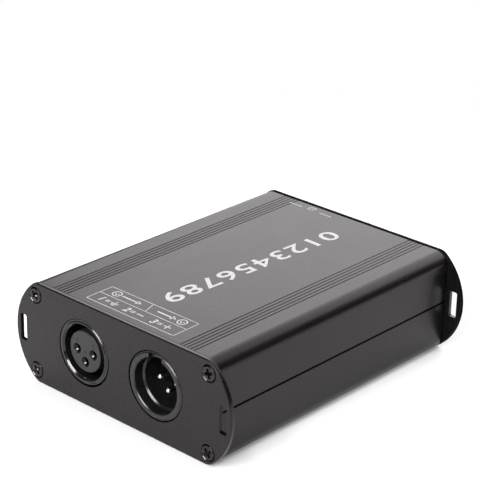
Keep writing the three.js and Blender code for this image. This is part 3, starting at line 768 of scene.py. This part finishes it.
TURNS = {"upper_left": 0.86, "upper_right": 0.3, "lower_left": 0.62, "lower_right": 0.6}
for end, side in (("front", -1), ("rear", 1)):
    proto = screw_solid(side)
    for spot, (x, z, short) in SCREW_SPOTS.items():
        screw = piece(
            f"{end}_screw_{short}", spun(proto, x, z, TURNS[spot] + (0.4 if side > 0 else 0)), SCREW,
            f"{end}_{short}_screw", f"{end}_screw_{spot}", sharp=28,
        )
        # painted shade: the recess is near-black and matt inside, apart from the ends of its arms
        screw.data.materials.append(RECESS_PAINTED_SHADE)
        for p in screw.data.polygons:
            px, py, pz = (c / MM for c in p.center)
            r, d = math.dist((px, pz), (x, z)), PLATE_FACE - abs(py)
            if r < 1.75 and -0.17 < d < 1.6 and p.normal.y * side > 0.02:
                inward = -(p.normal.x * (px - x) + p.normal.z * (pz - z)) / max(r, 0.01)
                if r < 0.8 or inward < 0.55:
                    p.material_index = 1


# ------------------------------------------------------------------ round connectors
def housing(cx, ring, inner):
    """Ring and cup of a round connector. `inner` is the (radius, y, rounding) path over the ring's face and down the bore."""
    pts = [
        (0, HOUSING_BACK, 0), (HOUSING_R, HOUSING_BACK, 0.3), (HOUSING_R, RING_BACK, 0.1), (ring, RING_BACK, 0.15),
        *inner, (0, BACK_WALL, 0),
    ]
    verts, faces = lathe(
        support(fillet([p[:2] for p in pts], [p[2] for p in pts], closed=False, segs=9), closed=False), cx, XLR_Z, 160
    )
    verts = [(x, y, max(z, FLAT_Z)) if y > RING_BACK + 0.15 else (x, y, z) for x, y, z in verts]
    return verts, faces


def feet(cx):
    """Square shoulders beside the round body, down to the board, and two pegs into it."""
    hug = arc(cx, XLR_Z, HOUSING_R - 0.9, 0, -math.pi, 40)
    loop = [(cx - HOUSING_R, XLR_Z), (cx - HOUSING_R, FLAT_Z), (cx + HOUSING_R, FLAT_Z), (cx + HOUSING_R, XLR_Z)] + hug
    solids = [run(loop, RING_BACK + 1.2, HOUSING_BACK - 0.02, 0.12, 0)]
    for sx in (-1, 1):
        solids.append(turned([(0, 6.6), (1.1, 6.6), (1.1, FLAT_Z + 0.3), (0, FLAT_Z + 0.3)], 0.2, cx + sx * 8.5, -50, 32, axis="z"))
    return together(*solids)


r = RING_R[-1]
fh = housing(
    -XLR_X, r,
    [
        (r, FRONT + 0.34, 0.12), (r - 0.55, FRONT + 0.34, 0.12), (r - 0.9, FRONT, 0.16), (BORE_R + 0.64, FRONT, 0.12),
        (BORE_R, FRONT + 0.64, 0.2), (BORE_R, BACK_WALL, 0),
    ],
)
rib = run(rect(-XLR_X - 0.8, -XLR_X + 0.8, XLR_Z - BORE_R - 0.6, XLR_Z - BORE_R + 0.4), FRONT + 0.45, BACK_WALL - 3, 0.25, 0.36)
piece("female_connector_shell", together(fh, rib, feet(-XLR_X)), RING, "enclosure", "female_connector_housing")

r = RING_R[1]
mh = housing(
    XLR_X, r,
    [
        (r, FRONT + 0.3, 0.12), (r - 0.3, FRONT + 0.3, 0.1), (r - 0.62, FRONT, 0.14), (BORE_R + 0.32, FRONT, 0.12),
        (BORE_R, FRONT + 0.32, 0.12), (BORE_R, STEP_Y, 0.05), (STEP_R + 0.58, STEP_Y, 0.05), (STEP_R, STEP_Y + 0.58, 0.1),
        (STEP_R, BACK_WALL, 0),
    ],
)
w = 3.0
notch = run(rect(XLR_X - w, XLR_X + w, XLR_Z + 6, XLR_Z + RING_R[1] - 0.5), FRONT - 1, NOTCH_Y, 0.02, 0.5, corner_segs=6)
groove = plain_box(XLR_X - w + 0.04, XLR_X + w - 0.04, STEP_Y + 0.9, FRONT + 12, XLR_Z + 6.5, XLR_Z + 10.1)
piece("male_connector_shell", together(cut(mh, notch, groove), feet(XLR_X)), SATIN_RING, "enclosure", "male_connector_housing")


# ------------------------------------------------------------------ insert, contacts, pins
def text_solid(text, size, depth, bold=0.0, shear=0.0, spacing=1.0):
    """Generic numerals as a flat solid in millimetres, centred on the origin: x to the right, y up, z thick."""
    cu = bpy.data.curves.new("figure", "FONT")
    cu.body = text
    cu.size = size
    cu.extrude = depth / 2
    cu.offset = bold
    cu.shear = shear
    cu.space_character = spacing
    cu.align_x, cu.align_y = "CENTER", "CENTER"
    cu.resolution_u = 6
    ob = bpy.data.objects.new("figure", cu)
    scene.collection.objects.link(ob)
    me = bpy.data.meshes.new_from_object(ob.evaluated_get(bpy.context.evaluated_depsgraph_get()))
    xs = [v.co.x for v in me.vertices]
    ys = [v.co.y for v in me.vertices]
    cx, cy = (min(xs) + max(xs)) / 2, (min(ys) + max(ys)) / 2
    out = [(v.co.x - cx, v.co.y - cy, v.co.z) for v in me.vertices], [tuple(p.vertices) for p in me.polygons]
    bpy.data.objects.remove(ob)
    bpy.data.curves.remove(cu)
    bpy.data.meshes.remove(me)
    return out


path = support(
    fillet(
        [(INSERT_R, FACE_Y), (INSERT_R, BACK_WALL - 2.4), (BORE_R - 0.3, BACK_WALL - 2.4), (BORE_R - 0.3, BACK_WALL - 0.3)],
        [0, 0.2, 0.2, 0], closed=False, segs=4,
    ),
    closed=False,
)
edge = [(INSERT_R - 0.5, FACE_Y)] + [
    (INSERT_R - 0.4 + 0.4 * math.sin(math.pi / 2 * k / 5), FACE_Y + 0.4 - 0.4 * math.cos(math.pi / 2 * k / 5)) for k in range(6)
]
edge += [(INSERT_R, FACE_Y + 0.5)] + path[1:]
chains = [[[(x, y, z) for x, z in ring_of(-XLR_X, XLR_Z, r, 96)] for r, y in edge]]
end_y = BACK_WALL - 0.3
for dx, dz in SPOTS:
    steps = [
        (2.08, FACE_Y), (1.98, FACE_Y), (1.86, FACE_Y + 0.03), (1.76, FACE_Y + 0.12), (1.69, FACE_Y + 0.28), (1.66, FACE_Y + 0.5),
        (1.65, FACE_Y + 0.6), (1.65, BACK_WALL - 1.3), (1.65, BACK_WALL - 1.2), (1.55, BACK_WALL - 1.2),
        (0.9, BACK_WALL - 1.2), (0.8, BACK_WALL - 1.2), (0.8, BACK_WALL - 1.1), (0.8, end_y - 0.1), (0.8, end_y),
    ]
    chains.append(round_hole(-XLR_X + dx, XLR_Z + dz, steps, 48))
parts = [skin(chains)]
for k, (dx, dz) in enumerate(SPOTS):
    v, f = text_solid(str(k + 1), 1.7, 0.22, 0.02)
    cx, cz = -XLR_X + dx, XLR_Z + dz + (3.9 if k == 2 else 3.3)
    parts.append(([(cx + x, FACE_Y - z, cz + y) for x, y, z in v], f))
piece("female_connector_core", together(*parts), INSERT, "enclosure", "female_connector_insert")

for i, (dx, dz) in enumerate(SPOTS):
    x, z = -XLR_X + dx, XLR_Z + dz
    leg_y = HOUSING_BACK + 2.2 + (2.54 if i == 2 else 0)
    # the mouth of the contact flares out to lead the pin in
    lead_in = [(0.84, FACE_Y + 1.0), (0.86, FACE_Y + 0.96), (1.40, FACE_Y + 0.42), (1.44, FACE_Y + 0.41), (1.47, FACE_Y + 0.45)]
    tube = lathe(
        support(
            fillet(
                [(0, BACK_WALL - 4), (0.84, BACK_WALL - 4), *lead_in, (1.47, BACK_WALL - 1.6), (LEG_R, BACK_WALL - 1.6), (LEG_R, leg_y + LEG_R), (0, leg_y + LEG_R)],
                [0, 0.1, *[0] * len(lead_in), 0.2, 0.1, 0.3, 0], closed=False, segs=5,
            ),
            closed=False, s=0.05,
        ),
        x, z, 40,
    )
    tube = cut(tube, plain_box(x - 0.15, x + 0.15, FACE_Y - 1, FACE_Y + 7, z + 0.3, z + 3))
    leg = turned([(0, BOARD_Z - 1.1), (LEG_R, BOARD_Z - 1.1), (LEG_R, z), (0, z)], [0, 0.15, 0, 0], x, leg_y, 20, axis="z")
    piece(f"female_socket_contact_{i + 1}", together(tube, leg), CONTACT_PAINTED_SHADE, "enclosure", f"female_contact_{i + 1}")

base = [[(x, y, z) for x, z in ring_of(XLR_X, XLR_Z, r, 96)] for r, y in (
    (STEP_R - 0.72, BACK_WALL - 2.6), (STEP_R - 0.62, BACK_WALL - 2.6), (STEP_R - 0.45, BACK_WALL - 2.55), (STEP_R - 0.34, BACK_WALL - 2.42),
    (STEP_R - 0.3, BACK_WALL - 2.25), (STEP_R - 0.3, BACK_WALL - 2.1), (STEP_R - 0.3, BACK_WALL - 0.4), (STEP_R - 0.3, BACK_WALL - 0.3))]
chains = [base]
for dx, dz in SPOTS:
    chains.append(round_hole(XLR_X + dx, XLR_Z + dz, [(1.75, BACK_WALL - 2.6), (1.65, BACK_WALL - 2.6), (1.5, BACK_WALL - 2.45), (1.5, BACK_WALL - 2.3), (1.5, BACK_WALL - 0.3)], 40))
piece("male_connector_floor", skin(chains), BASE, "enclosure", "male_connector_base")

TIP_Y = -PLATE_FACE + 5.3
for i, (dx, dz) in enumerate(SPOTS):
    x, z = XLR_X + dx, XLR_Z + dz
    leg_y = HOUSING_BACK + 2.2 + (2.54 if i == 2 else 0)
    nose = [(0, TIP_Y)] + [
        (PIN_R * math.sin(math.pi / 2 * k / 9) ** 0.85, TIP_Y + 1.35 * (1 - math.cos(math.pi / 2 * k / 9))) for k in range(1, 10)
    ]
    tail = fillet([(PIN_R, TIP_Y + 1.5), (PIN_R, BACK_WALL - 0.6), (LEG_R, BACK_WALL - 0.6), (LEG_R, leg_y + LEG_R), (0, leg_y + LEG_R)], [0, 0.15, 0.1, 0.3, 0], closed=False, segs=4)
    pin = lathe(nose + support(tail, closed=False), x, z, 48)
    leg = turned([(0, BOARD_Z - 1.1), (LEG_R, BOARD_Z - 1.1), (LEG_R, z), (0, z)], [0, 0.15, 0, 0], x, leg_y, 20, axis="z")
    piece(f"male_contact_pin_{i + 1}", fuse(pin, leg), SILVER, "enclosure", f"male_pin_{i + 1}")


# ------------------------------------------------------------------ USB socket
def usb_outline(g, corner):
    return rect(USB_X - USB_W / 2 + g, USB_X + USB_W / 2 - g, USB_Z0 + g, USB_Z0 + USB_H - g), corner


outer = support(fillet(usb_outline(0, 0)[0], 0.55, segs=6))
inner = support(fillet(usb_outline(0.35, 0)[0], 0.25, segs=6))[::-1]
can = skin([rounded_run(outer, USB_Y0, USB_Y1, 0.1, lip=0.04), rounded_run(inner, USB_Y0, USB_Y1, 0.1, lip=0.04)])
for sx in (-1, 1):
    # spring tongue pressed out of each side
    x = USB_X + sx * USB_W / 2
    lo, hi = sorted((x - sx * 0.8, x + sx * 0.8))
    frame_cut = cut(
        run(rect(51.2, 58.4, USB_Z0 + 3.0, USB_Z0 + 7.9), lo, hi, 0.01, 0.3, axis="x"),
        run(rect(51.9, 60.0, USB_Z0 + 3.7, USB_Z0 + 7.2), lo - 1, hi + 1, 0.01, 0.3, axis="x"),
    )
    can = cut(can, frame_cut)
seam = plain_box(USB_X - 0.06, USB_X + 0.06, USB_Y0 - 1, USB_Y1 + 1, USB_Z0 - 1, USB_Z0 + 0.5)
can = cut(can, seam)
for sx in (-1, 1):
    x = USB_X + sx * (USB_W / 2 - 0.175)
    can = together(can, run(rect(USB_Y0 + 3.2, USB_Y0 + 5.0, BOARD_Z - 1.2, USB_Z0 + 1), x - 0.165, x + 0.165, 0.05, 0.3, axis="x"))
piece("usb_socket_can", can, TINNED, "enclosure", "usb_socket_shell")

CAV_W, CAV_H, CAV_Z = 8.5, 7.8, USB_Z0 + USB_H / 2
cavity = [
    (USB_X - CAV_W / 2, CAV_Z - CAV_H / 2), (USB_X + CAV_W / 2, CAV_Z - CAV_H / 2), (USB_X + CAV_W / 2, CAV_Z + CAV_H / 2 - 2),
    (USB_X + CAV_W / 2 - 2, CAV_Z + CAV_H / 2), (USB_X - CAV_W / 2 + 2, CAV_Z + CAV_H / 2), (USB_X - CAV_W / 2, CAV_Z + CAV_H / 2 - 2),
]
block = run(usb_outline(0.5, 0)[0], USB_Y0 + 0.4, USB_Y1 - 0.5, 0.12, 0.2)
mouth = support(fillet(cavity, 0.35, segs=5))
rings = [[(p[0], y, p[1]) for p in offset(mouth, d)] for d, y in ((0.0, USB_Y0 + 4.5), (0.0, USB_Y1 - 1.0), (-0.02, USB_Y1 - 0.85), (-0.35, USB_Y1 - 0.45), (-0.6, USB_Y1 + 1))]
block = cut(block, skin([rings]))
TW, TH = 5.6, 3.2
tongue = run(rect(USB_X - TW / 2, USB_X + TW / 2, CAV_Z - TH / 2, CAV_Z + TH / 2), USB_Y0 + 4, USB_Y1 - 1.6, 0.4, 0.25)
for dx in (-1.25, 1.25):
    for sz in (1, -1):
        z = CAV_Z + sz * TH / 2
        tongue = cut(tongue, plain_box(USB_X + dx - 0.65, USB_X + dx + 0.65, USB_Y0 - 1, USB_Y1 - 2.4, z - 0.35, z + 0.35))
        block = cut(block, plain_box(USB_X + dx - 0.65, USB_X + dx + 0.65, USB_Y0 - 1, USB_Y0 + 6, z - 0.35, z + 0.35))
piece("usb_socket_moulding", together(block, tongue), SOCKET, "enclosure", "usb_socket_body")

k = 0
for dx, sz in ((-1.25, 1), (1.25, 1), (-1.25, -1), (1.25, -1)):
    k += 1
    x, z = USB_X + dx, CAV_Z + sz * TH / 2
    tail = USB_Y0 - 1.4 - (1.2 if sz > 0 else 0)
    strip = run(rect(x - 0.45, x + 0.45, z - 0.2, z + 0.2), tail, USB_Y1 - 2.7, 0.12, 0.08)
    strip = together(strip, run(rect(x - 0.44, x + 0.44, tail + 0.01, tail + 0.4), BOARD_Z - 1.0, z + 0.19, 0.1, 0.08, axis="z"))
    piece(f"usb_leaf_contact_{k}", strip, GOLD, "enclosure", f"usb_contact_{k}")

# ------------------------------------------------------------------ inside: plain CAD parts keep their shape
for node, m in {
    "circuit_board": BOARD, "microcontroller": EPOXY, "usb_bridge_chip": EPOXY, "output_transceiver": EPOXY,
    "input_transceiver": EPOXY, "isolation_coupler": EPOXY, "voltage_regulator": EPOXY, "isolated_supply_module": WHITE_CASE,
    "crystal": TINNED, "supply_capacitor_1": SLEEVE, "supply_capacitor_2": SLEEVE,
}.items():
    me = NODES[node].data
    me.materials.clear()
    me.materials.append(m)

# ------------------------------------------------------------------ white print on the top
PRINT_Z0, PRINT_Z1 = TOP - 0.004, TOP + 0.022
ink = []


def stroke(a, b, width=0.25):
    """A straight printed line from a to b, with square ends."""
    d = math.dist(a, b)
    u = ((b[0] - a[0]) / d * width / 2, (b[1] - a[1]) / d * width / 2)
    q = [
        (a[0] - u[0] + u[1], a[1] - u[1] - u[0]), (b[0] + u[0] + u[1], b[1] + u[1] - u[0]),
        (b[0] + u[0] - u[1], b[1] + u[1] + u[0]), (a[0] - u[0] - u[1], a[1] - u[1] + u[0]),
    ]
    ink.append(skin([[[(x, y, PRINT_Z0) for x, y in q], [(x, y, PRINT_Z1) for x, y in q]]]))


def ring_print(cx, cy, r, width, n=48):
    rings = []
    for rr, z in ((r - width / 2, PRINT_Z0), (r - width / 2, PRINT_Z1), (r + width / 2, PRINT_Z1), (r + width / 2, PRINT_Z0)):
        rings.append([(cx + rr * math.cos(2 * math.pi * i / n), cy + rr * math.sin(2 * math.pi * i / n), z) for i in range(n)])
    verts = [p for r_ in rings for p in r_]
    faces = []
    for a in range(4):
        b = (a + 1) % 4
        faces += [(a * n + i, a * n + (i + 1) % n, b * n + (i + 1) % n, b * n + i) for i in range(n)]
    ink.append((verts, faces))


def disc_print(cx, cy, r, n=24):
    ink.append(skin([[[(x, y, z) for x, y in ring_of(cx, cy, r, n)] for z in (PRINT_Z0, PRINT_Z1)]]))


def arrow(x0, x1, y, width=0.42, head=1.25):
    s = 1 if x1 > x0 else -1
    stroke((x0, y), (x1 - s * head * 0.7, y), width)
    q = [(x1, y), (x1 - s * head * 1.25, y + head * 0.75), (x1 - s * head * 1.25, y - head * 0.75)]
    if area2(q) < 0:
        q.reverse()
    ink.append(skin([[[(x, yy, PRINT_Z0) for x, yy in q], [(x, yy, PRINT_Z1) for x, yy in q]]]))


def figures(text, cx, cy, size, angle, bold, shear=0.0, spacing=1.0, length=None):
    v, f = text_solid(text, size, PRINT_Z1 - PRINT_Z0, bold, shear, spacing)
    if length:
        xs = [p[0] for p in v]
        k = length / (max(xs) - min(xs))
        v = [(p[0] * k, p[1], p[2]) for p in v]
    c, s = math.cos(angle), math.sin(angle)
    zc = (PRINT_Z0 + PRINT_Z1) / 2
    ink.append(([(cx + x * c - y * s, cy + x * s + y * c, zc + z) for x, y, z in v], f))


# ruled frame near the front: two cells above, one row below
X0, X1, Y0, YM, Y1 = -19.9, 20.8, -56.5, -50.25, -44.5
for a, b in (((X0, Y0), (X1, Y0)), ((X0, Y1), (X1, Y1)), ((X0, Y0), (X0, Y1)), ((X1, Y0), (X1, Y1)), ((X0, YM), (X1, YM)), ((1.75, YM), (-0.15, Y1))):
    stroke(a, b)
yc = (YM + Y1) / 2
for cx, outward in ((-14.6, True), (16.0, False)):
    ring_print(cx, yc, 1.7, 0.42)
    for dx, dy in ((-0.66, 0.1), (0.66, 0.1), (0, -0.62)):
        disc_print(cx + dx, yc + dy, 0.3)
arrow(-11.8, -3.0, yc, 0.62, 1.7)
arrow(5.0, 13.2, yc, 0.62, 1.7)
yl = (Y0 + YM) / 2
for text, x in (("1", -15.6), ("2", -3.6), ("3", 9.0)):
    figures(text, x, yl, 4.1, 0.0, 0.09, 0.22)
for x in (-12.9, -0.9, 11.7):
    for dy in (-0.42, 0.42):
        stroke((x - 0.8, yl + dy), (x + 0.8, yl + dy), 0.36)
gx = -9.6
stroke((gx, yl + 1.5), (gx, yl + 0.15), 0.38)
for k, half in enumerate((1.5, 1.0, 0.45)):
    stroke((gx - half, yl + 0.15 - 0.7 * k), (gx + half, yl + 0.15 - 0.7 * k), 0.38)
stroke((1.2, yl), (3.7, yl), 0.46)
stroke((13.8, yl), (16.4, yl), 0.46)
stroke((15.1, yl - 1.3), (15.1, yl + 1.3), 0.46)

# one line of large plain numerals along the box, read from the left side
figures("0123456789", 2.0, 2.7, 10.2, math.radians(-90 - 2.6), 0.09, 0.0, 1.12, length=83.5)

# a small socket outline between two short lines, read from the rear
for a, b in (((-21.6, 55.3), (-27.6, 55.3)), ((-13.0, 55.3), (-7.4, 55.3))):
    stroke(a, b, 0.36)
bx, by = -17.4, 56.2
for a, b in (((bx - 1.5, by + 1.2), (bx + 1.5, by + 1.2)), ((bx + 1.5, by + 1.2), (bx + 1.5, by - 0.5)), ((bx + 1.5, by - 0.5), (bx + 0.8, by - 1.2)), ((bx + 0.8, by - 1.2), (bx - 0.8, by - 1.2)), ((bx - 0.8, by - 1.2), (bx - 1.5, by - 0.5)), ((bx - 1.5, by - 0.5), (bx - 1.5, by + 1.2)), ((bx - 0.7, by), (bx + 0.7, by))):
    stroke(a, b, 0.34)

piece("top_print", together(*ink), INK, "enclosure", sharp=40)

# ------------------------------------------------------------------ floor, lights, camera
floor = bpy.data.meshes.new("floor")
S = 0.3
hidden = [(0.0372, 0.0589), (-0.0372, 0.0589), (-0.0372, -0.0589), (0.0372, -0.0589)]  # open under the box, so that its underside isn't in the dark
rim = [(S * math.cos(math.pi * (i + 0.5) / 48), S * math.sin(math.pi * (i + 0.5) / 48)) for i in range(96)]
quarters = []
for k in range(4):
    arc_ids = [4 + (i % 96) for i in range(12 + 24 * k, 12 + 24 * (k + 1) + 1)]
    quarters.append((k, *arc_ids, (k + 1) % 4))
floor.from_pydata([(x, y, 0) for x, y in hidden + rim], [], quarters)
floor_ob = bpy.data.objects.new("floor", floor)
scene.collection.objects.link(floor_ob)
t = Tree("white_sweep")
n = t.noise(0.02, 2.0, 0.5)
t.set(Base_Color=t.blend(n, rgba(0.78, 0.78, 0.78), rgba(0.81, 0.81, 0.81)), Roughness=0.9, Specular_IOR_Level=0.1)
t.set(Emission_Color=rgba(1.0, 1.0, 1.0), Emission_Strength=0.155)
clear = t.node("ShaderNodeBsdfTransparent")
geo = t.node("ShaderNodeNewGeometry")
mix = t.node("ShaderNodeMixShader")
t.put(mix.inputs[0], geo.outputs["Backfacing"])
t.put(mix.inputs[1], t.b.outputs[0])
t.put(mix.inputs[2], clear.outputs[0])
t.put(t.out.inputs[0], mix.outputs[0])
floor.materials.append(t.m)


def area_light(name, az, el, distance, width, height, radiance, colour=(1, 1, 1), tilt=0.0):
    """A soft rectangular light seen from the object at azimuth az (0 is +Y, 90 is +X) and elevation el."""
    a, e = math.radians(az), math.radians(el)
    d = Vector((math.sin(a) * math.cos(e), math.cos(a) * math.cos(e), math.sin(e)))
    li = bpy.data.lights.new(name, "AREA")
    li.shape = "RECTANGLE"
    li.size, li.size_y = width, height
    li.energy = 4 * width * height * radiance
    li.color = colour
    ob = bpy.data.objects.new(name, li)
    scene.collection.objects.link(ob)
    ob.location = Vector((0, 0, 0.02)) + d * distance
    ob.rotation_mode = "QUATERNION"
    ob.rotation_quaternion = d.to_track_quat("Z", "Y") @ Quaternion((0, 0, 1), math.radians(tilt))
    ob.visible_camera = False
    return ob


area_light("overhead", 0, 90, 1.5, 1.5, 1.5, 1.6)
area_light("key_behind", -11, 28, 1.0, 1.62, 0.86, 2.44, (1.0, 0.97, 0.985))
area_light("key_side", 11, 42, 0.98, 0.56, 0.34, 0.5, (1.0, 0.98, 0.99))
area_light("fill_right", 138, 20, 1.3, 1.5, 0.6, 0.36)
area_light("fill_left", -135, 18, 1.3, 1.3, 0.5, 0.22)
area_light("front_right", 165, 36, 1.0, 0.7, 0.22, 18.0, tilt=-38)

world = bpy.data.worlds.new("studio")
scene.world = world
world.use_nodes = True
nt = world.node_tree
nt.nodes.clear()
out = nt.nodes.new("ShaderNodeOutputWorld")
white = nt.nodes.new("ShaderNodeBackground")
white.inputs[0].default_value = (1, 1, 1, 1)
white.inputs[1].default_value = 1.0
dim = nt.nodes.new("ShaderNodeBackground")
dim.inputs[0].default_value = (1, 1, 1, 1)
# dark round the horizon, light from below, where only the underside sees it
coord = nt.nodes.new("ShaderNodeTexCoord")
parts_of = nt.nodes.new("ShaderNodeSeparateXYZ")
below = nt.nodes.new("ShaderNodeMapRange")
below.inputs["From Min"].default_value, below.inputs["From Max"].default_value = -0.25, -0.5
below.inputs["To Min"].default_value, below.inputs["To Max"].default_value = 0.015, 0.8
nt.links.new(coord.outputs["Generated"], parts_of.inputs[0])
nt.links.new(parts_of.outputs["Z"], below.inputs["Value"])
nt.links.new(below.outputs[0], dim.inputs[1])
ray = nt.nodes.new("ShaderNodeLightPath")
mix = nt.nodes.new("ShaderNodeMixShader")
nt.links.new(ray.outputs["Is Camera Ray"], mix.inputs[0])
nt.links.new(dim.outputs[0], mix.inputs[1])
nt.links.new(white.outputs[0], mix.inputs[2])
nt.links.new(mix.outputs[0], out.inputs[0])

scene.view_settings.view_transform = "Standard"
scene.view_settings.look = "None"
scene.view_settings.exposure = 0.0
scene.view_settings.gamma = 1.0

az, el, roll = math.radians(42.3133793), math.radians(23.3913064), math.radians(-1.19917048)
back = Vector((math.sin(az) * math.cos(el), -math.cos(az) * math.cos(el), math.sin(el)))
right = Vector((math.cos(az), math.sin(az), 0.0))
up = back.cross(right)
c, s = math.cos(roll), math.sin(roll)
r2, u2 = right * c - up * s, right * s + up * c
cam = bpy.data.cameras.new("photo_view")
cam.sensor_width = 36.0
cam.lens = 136.5151594
cam.clip_start, cam.clip_end = 0.02, 50.0
cam_ob = bpy.data.objects.new("photo_view", cam)
scene.collection.objects.link(cam_ob)
m = Matrix((r2, u2, back)).transposed().to_4x4()
m.translation = Vector((0.38873236, -0.42971872, 0.29842306))
cam_ob.matrix_world = m
scene.camera = cam_ob
